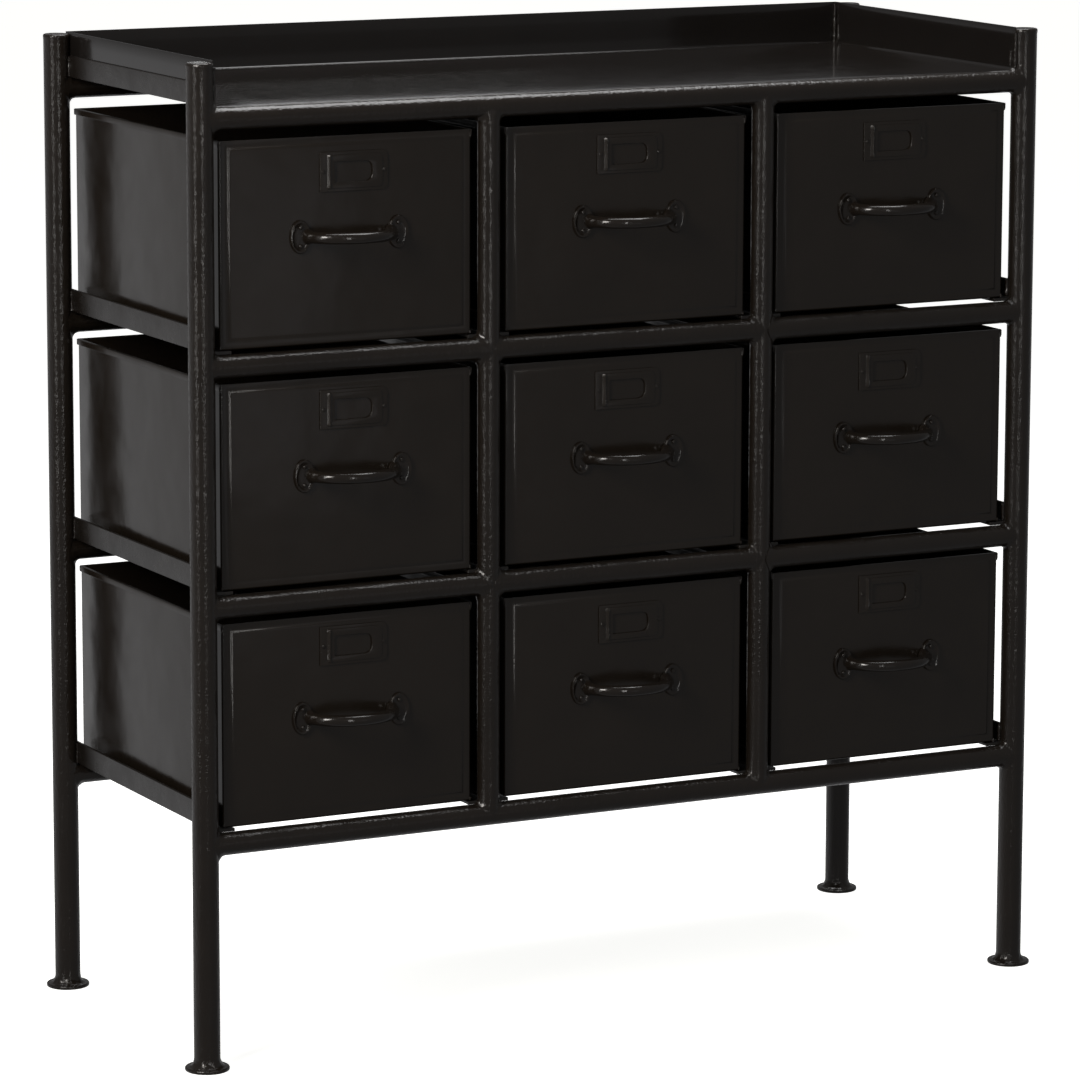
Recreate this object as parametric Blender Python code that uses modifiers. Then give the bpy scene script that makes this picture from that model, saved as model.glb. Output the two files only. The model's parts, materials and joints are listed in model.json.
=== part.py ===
"""Chest of nine sheet metal drawers in a welded tube frame, with a tray top.

Metres, +Z up, the front faces -Y. The origin is on the floor, under the middle of
the object's whole box, handles included.
"""

import math

import bmesh
import bpy

# ---- driving dimensions ----

GAP = 0.0003  # between pieces that touch

POST_DIAMETER = 0.0254
POST_WALL = 0.0016
POST_HEIGHT = 0.963
POSTS_ACROSS = 0.900  # between post centres, left to right
POSTS_DEEP = 0.350  # between post centres, front to back
FOOT_DIAMETER = 0.043
FOOT_THICKNESS = 0.0035
FOOT_WELD_HEIGHT = 0.011
DRAIN_HOLE_DIAMETER = 0.006

TUBE_DIAMETER = 0.022  # rails and uprights
TUBE_WALL = 0.0015
LOWEST_LEVEL = 0.219  # centre of the bottom rails
LEVEL_PITCH = 0.229
TOP_ROW_EXTRA = 0.004  # the top row's opening is a little higher than the others
COLUMNS = 3
ROWS = 3

ANGLE_LEG = 0.022  # height of the upright leg
ANGLE_LEDGE = 0.021  # width of the leg that carries a drawer
ANGLE_THICKNESS = 0.003
TEE_HALF_WIDTH = 0.022
FLAT_BAR_HEIGHT = 0.021  # the bar beside the tray
FLAT_BAR_LIFT = 0.0105  # its lower edge, above the centre of the top rails

TRAY_SHEET = 0.0012
TRAY_WALL_HEIGHT = 0.0432
TRAY_FRONT_OVERHANG = 0.003
TRAY_BACK_OVERHANG = 0.003

DRAWER_WIDTH = 0.263
DRAWER_HEIGHT = 0.197
DRAWER_DEPTH = 0.348
DRAWER_SHEET = 0.0012
FRONT_SETBACK = 0.0015  # border of the drawer front, behind the plane of the post centres
FIELD_BORDER = 0.0075  # plain border round the pressed field
FIELD_SLOPE = 0.0015
FIELD_RISE = 0.0015
COLUMN_OFFSET = 0.0005  # outer columns sit this much nearer the middle than the bay
RIGHT_COLUMN_REST = 0.0015  # the right-hand drawers lie a little to the left in their bays

HANDLE_SPAN = 0.102  # between the centres of the two feet
HANDLE_BOW_SPAN = 0.086  # between the ends of the bow, on the inner part of each foot
HANDLE_PROJECTION = 0.03275  # bar centre in front of the field
HANDLE_BAR_DIAMETER = 0.011
HANDLE_FOOT_WIDTH = 0.021
HANDLE_FOOT_HEIGHT = 0.032
HANDLE_FOOT_THICKNESS = 0.003
HANDLE_HEIGHT = 0.1005  # foot centre above the drawer's bottom

LABEL_WIDTH = 0.071
LABEL_HEIGHT = 0.038
LABEL_THICKNESS = 0.0022
LABEL_WINDOW_WIDTH = 0.040
LABEL_WINDOW_HEIGHT = 0.020
LABEL_CORNER = 0.006
LABEL_CENTRE = 0.1655  # above the drawer's bottom

# The fittings were put on by hand. For each row from the top, and each drawer from the
# left: how far right and up the label holder sits, then the handle, in whole millimetres.
FITTING_SHIFTS = [
    [(7, -2, 2, 3), (2, 1, 2, 2), (2, 0, 0, -1)],
    [(6, 1, 5, 4), (1, 0, 1, 0), (0, -1, -2, -1)],
    [(5, 2, 2, -1), (6, -3, 2, 0), (3, 2, 1, -2)],
]

POST_SIDES = 20
TUBE_SIDES = 16

# ---- places worked out from them ----

POST_RADIUS = POST_DIAMETER / 2
TUBE_RADIUS = TUBE_DIAMETER / 2
FOOT_RADIUS = FOOT_DIAMETER / 2
BAY = POSTS_ACROSS / COLUMNS

# The handles stand out in front of the feet, so the box's middle is in front of the frame's.
FIELD_TO_POST_LINE = FIELD_RISE - FRONT_SETBACK
HANDLE_REACH = HANDLE_PROJECTION + HANDLE_BAR_DIAMETER / 2 + FIELD_TO_POST_LINE + GAP
FRONT_Y = (HANDLE_REACH - POSTS_DEEP - FOOT_RADIUS) / 2
BACK_Y = FRONT_Y + POSTS_DEEP

LEVELS = [LOWEST_LEVEL + LEVEL_PITCH * i for i in range(ROWS + 1)]
LEVELS[-1] += TOP_ROW_EXTRA
TOP_LEVEL = LEVELS[-1]
UPRIGHTS_X = [-BAY / 2, BAY / 2]
LEDGE_TOP = TUBE_RADIUS + GAP + ANGLE_THICKNESS  # above the rail centre
DRAWER_LIFT = LEDGE_TOP + GAP
COLUMN_CENTRES = [
    -BAY + COLUMN_OFFSET,
    0.0,
    BAY - COLUMN_OFFSET - RIGHT_COLUMN_REST,
]
GUIDE_X = POSTS_ACROSS / 2 - POST_RADIUS  # inner faces of the posts and of the side angles


# ---- scene ----


def clear_scene():
    for old in list(bpy.data.objects):
        bpy.data.objects.remove(old, do_unlink=True)


def new_collection(name):
    collection = bpy.data.collections.new(name)
    bpy.context.scene.collection.children.link(collection)
    return collection


def enamel(name, colour, roughness):
    material = bpy.data.materials.new(name)
    material.use_nodes = True
    shader = material.node_tree.nodes["Principled BSDF"]
    shader.inputs["Base Color"].default_value = (*colour, 1.0)
    shader.inputs["Metallic"].default_value = 0.0
    shader.inputs["Roughness"].default_value = roughness
    return material


clear_scene()
CHEST = new_collection("chest_of_drawers")
CUTTERS = new_collection("cutters")
FRAME_ENAMEL = enamel("frame_enamel", (0.012, 0.011, 0.010), 0.28)
DRAWER_ENAMEL = enamel("drawer_enamel", (0.020, 0.018, 0.016), 0.45)
TRAY_ENAMEL = enamel("tray_enamel", (0.014, 0.013, 0.013), 0.35)
FITTING_ENAMEL = enamel("fitting_enamel", (0.013, 0.012, 0.011), 0.30)


def add(name, data, material, location=(0, 0, 0), parent=None):
    """Puts mesh or curve data into the chest as a named piece."""
    piece = bpy.data.objects.new(name, data)
    piece.location = location
    piece.parent = parent
    CHEST.objects.link(piece)
    if not data.materials:
        data.materials.append(material)
    return piece


def smooth_round(mesh):
    mesh.shade_smooth()
    mesh.set_sharp_from_angle(angle=math.radians(35))


def mesh_of(name, build):
    """Fills a new mesh with what the function build makes in a bmesh."""
    mesh = bpy.data.meshes.new(name)
    form = bmesh.new()
    build(form)
    form.to_mesh(mesh)
    form.free()
    return mesh


def as_mesh(source, name):
    """Turns a temporary object into welded mesh data, with its place applied."""
    bpy.context.view_layer.update()
    evaluated = source.evaluated_get(bpy.context.evaluated_depsgraph_get())
    mesh = bpy.data.meshes.new_from_object(evaluated)
    mesh.transform(source.matrix_world)
    mesh.name = name
    form = bmesh.new()
    form.from_mesh(mesh)
    bmesh.ops.remove_doubles(form, verts=form.verts, dist=0.00001)
    form.to_mesh(mesh)
    form.free()
    bpy.data.objects.remove(source, do_unlink=True)
    return mesh


# ---- tubes ----

ALONG_X = (0, math.pi / 2, 0)
UPRIGHT = (0, 0, 0)


def cylinder_mesh(name, radius, length, sides, caps):
    def build(form):
        bmesh.ops.create_cone(
            form,
            cap_ends=caps,
            segments=sides,
            radius1=radius,
            radius2=radius,
            depth=length,
        )

    return mesh_of(name, build)


def cutter(name, radius, length, sides, centre, turn):
    tool = bpy.data.objects.new(name, cylinder_mesh(name, radius, length, sides, True))
    tool.location = centre
    tool.rotation_euler = turn
    tool.hide_render = True
    tool.display_type = "WIRE"
    CUTTERS.objects.link(tool)
    return tool


def cope_ends(piece, tools):
    for i, tool in enumerate(tools):
        cope = piece.modifiers.new(f"cope_{i + 1}", "BOOLEAN")
        cope.operation = "DIFFERENCE"
        cope.solver = "EXACT"
        cope.object = tool


def tube(name, length, centre, turn, copes):
    """An open-ended tube whose ends are coped to fit the tubes that they meet."""
    mesh = cylinder_mesh(name, TUBE_RADIUS, length, TUBE_SIDES, False)
    smooth_round(mesh)
    piece = add(name, mesh, FRAME_ENAMEL, centre)
    piece.rotation_euler = turn
    wall = piece.modifiers.new("wall", "SOLIDIFY")
    wall.thickness = TUBE_WALL
    wall.offset = -1
    wall.use_even_offset = True
    cope_ends(piece, copes)


def make_copes():
    """Cutters a little larger than each tube that another tube is welded to."""
    tools = {}
    for side, x in (("left", -POSTS_ACROSS / 2), ("right", POSTS_ACROSS / 2)):
        for end, y in (("front", FRONT_Y), ("rear", BACK_Y)):
            centre = (x, y, POST_HEIGHT / 2)
            name = f"cope_post_{end}_{side}"
            radius = POST_RADIUS + GAP
            tools[end, side] = cutter(name, radius, POST_HEIGHT, POST_SIDES, centre, UPRIGHT)
    for side, x in zip(("left", "right"), UPRIGHTS_X):
        centre = (x, FRONT_Y, POST_HEIGHT / 2)
        radius = TUBE_RADIUS + GAP
        tools["upright", side] = cutter(
            f"cope_upright_{side}", radius, POST_HEIGHT, TUBE_SIDES, centre, UPRIGHT
        )
    for place, z in (("top", LEVELS[-1]), ("bottom", LEVELS[0])):
        centre = (0, FRONT_Y, z)
        radius = TUBE_RADIUS + GAP
        tools["rail", place] = cutter(
            f"cope_rail_{place}", radius, POSTS_ACROSS, TUBE_SIDES, centre, ALONG_X
        )
    return tools


def make_rails(tools):
    post_left, post_right = tools["front", "left"], tools["front", "right"]
    for place, z in (("top", LEVELS[-1]), ("bottom", LEVELS[0])):
        tube(
            f"front_rail_{place}",
            POSTS_ACROSS,
            (0, FRONT_Y, z),
            ALONG_X,
            [post_left, post_right],
        )
    stations = [post_left, tools["upright", "left"], tools["upright", "right"], post_right]
    for place, z in (("upper", LEVELS[2]), ("lower", LEVELS[1])):
        for i, bay in enumerate(("left", "centre", "right")):
            centre = ((i - 1) * BAY, FRONT_Y, z)
            tube(f"front_rail_{place}_{bay}", BAY, centre, ALONG_X, stations[i : i + 2])
    for place, z in zip(("bottom", "lower", "upper", "top"), LEVELS):
        tube(
            f"back_rail_{place}",
            POSTS_ACROSS,
            (0, BACK_Y, z),
            ALONG_X,
            [tools["rear", "left"], tools["rear", "right"]],
        )


def make_uprights(tools):
    length = LEVELS[-1] - LEVELS[0]
    middle = (LEVELS[-1] + LEVELS[0]) / 2
    for side, x in zip(("left", "right"), UPRIGHTS_X):
        tube(
            f"upright_{side}",
            length,
            (x, FRONT_Y, middle),
            UPRIGHT,
            [tools["rail", "top"], tools["rail", "bottom"]],
        )


# ---- corner posts ----


def post_profile():
    """Half section from the cap's middle down the outside and back up the bore."""
    bore = POST_RADIUS - POST_WALL
    drain = DRAIN_HOLE_DIAMETER / 2
    rim = 0.0006
    points = [(0, POST_HEIGHT), (POST_RADIUS - rim, POST_HEIGHT)]
    points.append((POST_RADIUS, POST_HEIGHT - rim))
    fillet = FOOT_WELD_HEIGHT - FOOT_THICKNESS
    for step in range(4):
        turn = step / 3 * math.pi / 2
        out = fillet * (1 - math.cos(turn)) * 0.6
        down = fillet * math.sin(turn)
        points.append((POST_RADIUS + out, FOOT_WELD_HEIGHT - down))
    points.append((FOOT_RADIUS - rim, FOOT_THICKNESS))
    points.append((FOOT_RADIUS, FOOT_THICKNESS - rim))
    points.append((FOOT_RADIUS, 0))
    points.append((drain, 0))
    points.append((drain, FOOT_THICKNESS))
    points.append((bore, FOOT_THICKNESS))
    points.append((bore, POST_HEIGHT - POST_WALL))
    points.append((0, POST_HEIGHT - POST_WALL))
    return points


def make_posts():
    mesh = bpy.data.meshes.new("corner_post")
    points = post_profile()
    edges = [(i, i + 1) for i in range(len(points) - 1)]
    mesh.from_pydata([(r, 0, z) for r, z in points], edges, [])
    for side, x in (("left", -POSTS_ACROSS / 2), ("right", POSTS_ACROSS / 2)):
        for end, y in (("front", FRONT_Y), ("rear", BACK_Y)):
            piece = add(f"post_{end}_{side}", mesh, FRAME_ENAMEL, (x, y, 0))
            turned = piece.modifiers.new("turned", "SCREW")
            turned.steps = POST_SIDES
            turned.render_steps = POST_SIDES
            turned.use_merge_vertices = True
            turned.merge_threshold = 0.00001
            turned.use_smooth_shade = False


# ---- angles, flat bars and tees ----


def bar_along_y(name, outline, end, location, copes):
    """A flat outline in X and Z drawn along Y from the front rail's centre, with coped ends."""
    curve = bpy.data.curves.new(name, "CURVE")
    curve.dimensions = "2D"
    curve.fill_mode = "BOTH"
    curve.extrude = (end - FRONT_Y) / 2
    curve.resolution_u = 1
    line = curve.splines.new("POLY")
    line.points.add(len(outline) - 1)
    for point, (x, z) in zip(line.points, outline):
        point.co = (x, z, 0, 1)
    line.use_cyclic_u = True
    drawn = bpy.data.objects.new(name, curve)
    x, z = location
    drawn.location = (x, (FRONT_Y + end) / 2, z)
    drawn.rotation_euler = (math.pi / 2, 0, 0)
    CHEST.objects.link(drawn)
    piece = add(name, as_mesh(drawn, name), FRAME_ENAMEL)
    cope_ends(piece, copes)


def angle_outline(side):
    """Upright leg outside, ledge pointing to the middle of the chest at its foot."""
    thick = ANGLE_THICKNESS
    outline = [
        (-ANGLE_LEDGE + thick, 0),
        (-ANGLE_LEDGE + thick, thick),
        (0, thick),
        (0, ANGLE_LEG),
        (thick, ANGLE_LEG),
        (thick, 0),
    ]
    return [(side * x, z) for x, z in outline]


def flat_outline(side):
    thick = ANGLE_THICKNESS
    outline = [(0, 0), (0, FLAT_BAR_HEIGHT), (thick, FLAT_BAR_HEIGHT), (thick, 0)]
    return [(side * x, z) for x, z in outline]


def make_side_bars(tools):
    """The angles that carry the outer drawers, and the flat bars beside the tray."""
    for word, side in (("left", -1), ("right", 1)):
        posts = [tools["front", word], tools["rear", word]]
        for place, level in zip(("bottom", "lower", "upper"), LEVELS):
            bar_along_y(
                f"side_angle_{word}_{place}",
                angle_outline(side),
                BACK_Y,
                (side * GUIDE_X, level + TUBE_RADIUS + GAP),
                posts,
            )
        bar_along_y(
            f"side_bar_{word}_top",
            flat_outline(side),
            BACK_Y,
            (side * GUIDE_X, TOP_LEVEL + FLAT_BAR_LIFT),
            posts,
        )


def make_runners(tools):
    """Tees that carry the drawers on both sides of each upright."""
    web = ANGLE_THICKNESS
    wide = TEE_HALF_WIDTH
    outline = [
        (-wide, 0),
        (wide, 0),
        (wide, ANGLE_THICKNESS),
        (web, ANGLE_THICKNESS),
        (web, ANGLE_LEG),
        (-web, ANGLE_LEG),
        (-web, ANGLE_THICKNESS),
        (-wide, ANGLE_THICKNESS),
    ]
    for word, x in zip(("left", "right"), UPRIGHTS_X):
        for place, level in zip(("bottom", "lower", "upper"), LEVELS):
            bar_along_y(
                f"runner_{word}_{place}",
                outline,
                BACK_Y + TUBE_RADIUS / 2,
                (x, level + TUBE_RADIUS + GAP),
                [tools["upright", word]],
            )


# ---- tray ----


def make_tray():
    """An open box without its lid and its front wall, given its thickness inwards."""
    half_width = GUIDE_X - GAP
    front = FRONT_Y - TRAY_FRONT_OVERHANG
    back = BACK_Y + TRAY_BACK_OVERHANG
    floor = TOP_LEVEL + TUBE_RADIUS + GAP

    def build(form):
        bmesh.ops.create_cube(form, size=1)
        size = (2 * half_width, back - front, TRAY_WALL_HEIGHT)
        bmesh.ops.scale(form, vec=size, verts=form.verts)
        middle = (0, (front + back) / 2, floor + TRAY_WALL_HEIGHT / 2)
        bmesh.ops.translate(form, vec=middle, verts=form.verts)
        open_sides = [f for f in form.faces if f.normal.z > 0.5 or f.normal.y < -0.5]
        bmesh.ops.delete(form, geom=open_sides, context="FACES")

    piece = add("tray_top", mesh_of("tray_top", build), TRAY_ENAMEL)
    sheet = piece.modifiers.new("sheet", "SOLIDIFY")
    sheet.thickness = TRAY_SHEET
    sheet.offset = -1
    sheet.use_even_offset = True


# ---- drawers ----


def drawer_box_mesh():
    """An open-topped box with a field pressed forward inside the border of its front.

    Its origin is at the middle of the front border's bottom edge.
    """

    def build(form):
        bmesh.ops.create_cube(form, size=1)
        size = (DRAWER_WIDTH, DRAWER_DEPTH, DRAWER_HEIGHT)
        bmesh.ops.scale(form, vec=size, verts=form.verts)
        middle = (0, DRAWER_DEPTH / 2, DRAWER_HEIGHT / 2)
        bmesh.ops.translate(form, vec=middle, verts=form.verts)
        top = [f for f in form.faces if f.normal.z > 0.5]
        bmesh.ops.delete(form, geom=top, context="FACES")
        front = [f for f in form.faces if f.normal.y < -0.5]
        bmesh.ops.inset_region(form, faces=front, thickness=FIELD_BORDER, use_boundary=True)
        front = [f for f in form.faces if f.normal.y < -0.5]
        field = max(front, key=lambda face: face.calc_area())
        bmesh.ops.inset_region(
            form, faces=[field], thickness=FIELD_SLOPE, depth=FIELD_RISE, use_boundary=True
        )

    return mesh_of("drawer_box", build)


def handle_mesh():
    """A bowed bar between two oval feet, whose backs lie in the plane y = 0."""
    curve = bpy.data.curves.new("handle_bar", "CURVE")
    curve.dimensions = "3D"
    curve.bevel_depth = HANDLE_BAR_DIAMETER / 2
    curve.bevel_resolution = 2
    curve.use_fill_caps = True
    count = 17
    line = curve.splines.new("POLY")
    line.points.add(count - 1)
    base = HANDLE_FOOT_THICKNESS / 2
    for i, point in enumerate(line.points):
        turn = math.pi * i / (count - 1)
        across = -math.cos(turn) * HANDLE_BOW_SPAN / 2
        point.co = (across, -base - (HANDLE_PROJECTION - base) * math.sin(turn), 0, 1)
    bar = bpy.data.objects.new("handle_bar", curve)
    CHEST.objects.link(bar)
    shape = bpy.data.objects.new("handle_shape", as_mesh(bar, "handle"))
    CHEST.objects.link(shape)
    feet = []
    for side in (-1, 1):
        mesh = cylinder_mesh("handle_foot", 0.5, HANDLE_FOOT_THICKNESS, 24, True)
        foot = bpy.data.objects.new("handle_foot", mesh)
        for vertex in mesh.vertices:
            vertex.co.x *= HANDLE_FOOT_WIDTH
            vertex.co.y *= HANDLE_FOOT_HEIGHT
        foot.rotation_euler = (math.pi / 2, 0, 0)
        foot.location = (side * HANDLE_SPAN / 2, -HANDLE_FOOT_THICKNESS / 2, 0)
        CHEST.objects.link(foot)
        join = shape.modifiers.new("join", "BOOLEAN")
        join.operation = "UNION"
        join.solver = "EXACT"
        join.object = foot
        feet.append(foot)
    mesh = as_mesh(shape, "handle")
    for foot in feet:
        bpy.data.objects.remove(foot, do_unlink=True)
    smooth_round(mesh)
    return mesh


def rounded_outline(curve, width, height, corner, steps):
    """Adds a rectangle with round corners to a flat curve."""
    centres = [
        (width / 2 - corner, height / 2 - corner, 0.0),
        (-width / 2 + corner, height / 2 - corner, 0.5),
        (-width / 2 + corner, -height / 2 + corner, 1.0),
        (width / 2 - corner, -height / 2 + corner, 1.5),
    ]
    points = []
    for x, z, start in centres:
        for step in range(steps + 1):
            turn = math.pi * (start + 0.5 * step / steps)
            points.append((x + corner * math.cos(turn), z + corner * math.sin(turn)))
    line = curve.splines.new("POLY")
    line.points.add(len(points) - 1)
    for point, (x, z) in zip(line.points, points):
        point.co = (x, z, 0, 1)
    line.use_cyclic_u = True


def label_holder_curve():
    curve = bpy.data.curves.new("label_holder", "CURVE")
    curve.dimensions = "2D"
    curve.fill_mode = "BOTH"
    curve.extrude = LABEL_THICKNESS / 2
    curve.resolution_u = 1
    rounded_outline(curve, LABEL_WIDTH, LABEL_HEIGHT, LABEL_CORNER, 3)
    window = (LABEL_WINDOW_WIDTH, LABEL_WINDOW_HEIGHT)
    rounded_outline(curve, *window, LABEL_CORNER / 2, 2)
    return curve


def make_drawers():
    box_mesh = drawer_box_mesh()
    bow_mesh = handle_mesh()
    label_curve = label_holder_curve()
    field_y = -FIELD_RISE
    for row in range(ROWS):
        level = LEVELS[ROWS - 1 - row]
        for column, x in enumerate(COLUMN_CENTRES):
            name = f"drawer_r{row + 1}c{column + 1}"
            slide = bpy.data.objects.new(name, None)
            slide.empty_display_size = 0.05
            slide.location = (x, FRONT_Y + FRONT_SETBACK, level + DRAWER_LIFT)
            CHEST.objects.link(slide)
            box = add(f"{name}_box", box_mesh, DRAWER_ENAMEL, parent=slide)
            sheet = box.modifiers.new("sheet", "SOLIDIFY")
            sheet.thickness = DRAWER_SHEET
            sheet.offset = -1
            sheet.use_even_offset = True
            shift = [amount / 1000 for amount in FITTING_SHIFTS[row][column]]
            place = (shift[2], field_y - GAP, HANDLE_HEIGHT + shift[3])
            add(f"{name}_handle", bow_mesh, FITTING_ENAMEL, place, slide)
            place = (shift[0], field_y - GAP - LABEL_THICKNESS / 2, LABEL_CENTRE + shift[1])
            label = add(f"{name}_label_holder", label_curve, FITTING_ENAMEL, place, slide)
            label.rotation_euler = (math.pi / 2, 0, 0)


TOOLS = make_copes()
make_posts()
make_rails(TOOLS)
make_uprights(TOOLS)
make_side_bars(TOOLS)
make_runners(TOOLS)
make_tray()
make_drawers()
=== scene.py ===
"""Chest of nine sheet steel drawers in a welded tube frame, enamelled black.

Metres, +Z up, the front faces -Y. The sections follow the order in which the chest is made.
"""

import json
import math

import bmesh
import bpy
from mathutils import Matrix, Vector, noise

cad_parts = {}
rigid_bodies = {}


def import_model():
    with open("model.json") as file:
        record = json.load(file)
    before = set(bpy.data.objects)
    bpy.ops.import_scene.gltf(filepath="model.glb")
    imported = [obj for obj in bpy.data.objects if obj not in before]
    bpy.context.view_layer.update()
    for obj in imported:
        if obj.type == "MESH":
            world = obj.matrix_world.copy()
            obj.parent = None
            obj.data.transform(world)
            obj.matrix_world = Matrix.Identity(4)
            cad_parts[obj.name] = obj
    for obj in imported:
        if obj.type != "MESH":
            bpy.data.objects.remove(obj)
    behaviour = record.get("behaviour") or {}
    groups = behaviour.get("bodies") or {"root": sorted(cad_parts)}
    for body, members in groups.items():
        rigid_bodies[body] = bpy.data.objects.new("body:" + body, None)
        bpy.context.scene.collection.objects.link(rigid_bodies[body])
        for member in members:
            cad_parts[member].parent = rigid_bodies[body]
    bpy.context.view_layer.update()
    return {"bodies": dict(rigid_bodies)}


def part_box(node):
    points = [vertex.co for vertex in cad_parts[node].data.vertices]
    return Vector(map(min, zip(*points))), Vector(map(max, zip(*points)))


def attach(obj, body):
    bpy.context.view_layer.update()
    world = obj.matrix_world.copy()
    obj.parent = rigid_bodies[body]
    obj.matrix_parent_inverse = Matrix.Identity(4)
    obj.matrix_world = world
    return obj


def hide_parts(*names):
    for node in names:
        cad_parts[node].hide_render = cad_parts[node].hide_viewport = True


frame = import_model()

# ---------------------------------------------------------------------------
# Corner posts: 25 mm round steel tube with a flat cap welded on top and a
# round foot welded below. The enamel went on thick, and it set in small runs
# and sags.
# ---------------------------------------------------------------------------

POST_RADIUS = 0.0127
FOOT_RADIUS = 0.0215
FOOT_THICKNESS = 0.0035
FOOT_WELD_HEIGHT = 0.0115
DRAIN_RADIUS = 0.003


def linear(hex_colour):
    """An sRGB hex colour as linear red, green, blue and alpha."""
    result = []
    for start in (1, 3, 5):
        channel = int(hex_colour[start : start + 2], 16) / 255
        if channel <= 0.04045:
            result.append(channel / 12.92)
        else:
            result.append(((channel + 0.055) / 1.055) ** 2.4)
    return (*result, 1.0)


def add_node(tree, kind, settings=(), links=()):
    """Adds a node. A setting is a property of the node or the value of an input."""
    node = tree.nodes.new(kind)
    for key, value in dict(settings).items():
        if isinstance(key, str) and hasattr(node, key):
            setattr(node, key, value)
        else:
            node.inputs[key].default_value = value
    for key, source in dict(links).items():
        tree.links.new(source, node.inputs[key])
    return node


def black_enamel(name, dark, light, gloss, sag, peel, wave):
    """Black enamel brushed or poured on steel.

    dark and light are the two tones it changes between in soft clouds. gloss is its
    lowest and highest roughness. sag, peel and wave each give a width and a height in
    metres and an upright stretch: of the runs, of the orange peel, and of the slow
    unevenness of the steel below.
    """
    material = bpy.data.materials.new(name)
    material.use_nodes = True
    tree = material.node_tree
    shader = tree.nodes["Principled BSDF"]
    shader.inputs["IOR"].default_value = 1.52
    place = add_node(tree, "ShaderNodeTexCoord").outputs["Object"]
    cloud = add_node(
        tree,
        "ShaderNodeTexNoise",
        {"Scale": 14.0, "Detail": 4.0, "Roughness": 0.6},
        {"Vector": place},
    )
    tone = add_node(
        tree,
        "ShaderNodeMix",
        {"data_type": "RGBA", 6: linear(dark), 7: linear(light)},
        {0: cloud.outputs["Fac"]},
    )
    tree.links.new(tone.outputs[2], shader.inputs["Base Color"])
    haze = add_node(
        tree,
        "ShaderNodeTexNoise",
        {"Scale": 38.0, "Detail": 6.0, "Roughness": 0.65},
        {"Vector": place},
    )
    rough = add_node(
        tree,
        "ShaderNodeMapRange",
        {"From Min": 0.3, "From Max": 0.7, "To Min": gloss[0], "To Max": gloss[1]},
        {"Value": haze.outputs["Fac"]},
    )
    tree.links.new(rough.outputs["Result"], shader.inputs["Roughness"])
    normal = None
    for width, height, stretch in (wave, peel, sag):
        squeezed = add_node(
            tree, "ShaderNodeMapping", {"Scale": (1.0, 1.0, 1.0 / stretch)}, {"Vector": place}
        )
        lumps = add_node(
            tree,
            "ShaderNodeTexNoise",
            {"Scale": 1.0 / width, "Detail": 2.0, "Roughness": 0.45},
            {"Vector": squeezed.outputs["Vector"]},
        )
        joined = {"Height": lumps.outputs["Fac"]}
        if normal:
            joined["Normal"] = normal
        bump = add_node(tree, "ShaderNodeBump", {"Strength": 1.0, "Distance": height}, joined)
        normal = bump.outputs["Normal"]
    tree.links.new(normal, shader.inputs["Normal"])
    return material


# Thick gloss enamel on tube: almost black, a warm brown where light gets into it, with
# runs about 3 mm wide that break up the highlights.
POURED_ENAMEL = black_enamel(
    "poured_black_enamel_on_tube",
    "#1a1612",
    "#241e19",
    (0.13, 0.24),
    sag=(0.0028, 0.00050, 1.5),
    peel=(0.0016, 0.00012, 1.0),
    wave=(0.030, 0.0004, 3.0),
)


def new_piece(name, form, material, body, nodes):
    """Makes a finished bmesh a piece that moves with a body and stands for solids."""
    mesh = bpy.data.meshes.new(name)
    form.to_mesh(mesh)
    form.free()
    return finished(name, mesh, material, body, nodes)


def finished(name, mesh, material, body, nodes):
    """Does the same for a mesh. A piece that only adds detail stands for no solids."""
    mesh.materials.clear()
    mesh.materials.append(material)
    mesh.shade_smooth()
    mesh.set_sharp_from_angle(angle=math.radians(40))
    piece = bpy.data.objects.new(name, mesh)
    bpy.context.scene.collection.objects.link(piece)
    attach(piece, body)
    if nodes:
        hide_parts(*nodes)
    return piece


def skin(form, rings):
    """Joins rings of points, each as long as the last, and closes the two ends."""
    loops = [[form.verts.new(point) for point in ring] for ring in rings]
    for first, second in zip(loops, loops[1:]):
        for i in range(len(first)):
            j = (i + 1) % len(first)
            form.faces.new((first[i], first[j], second[j], second[i]))
    form.faces.new(list(reversed(loops[0])))
    form.faces.new(loops[-1])
    bmesh.ops.recalc_face_normals(form, faces=form.faces)


def circle(count):
    return [2 * math.pi * i / count for i in range(count)]


def lumpy(place, size):
    """A smooth number from about -1 to 1 that changes over that many metres."""
    return noise.noise(Vector(place) / size)


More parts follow.
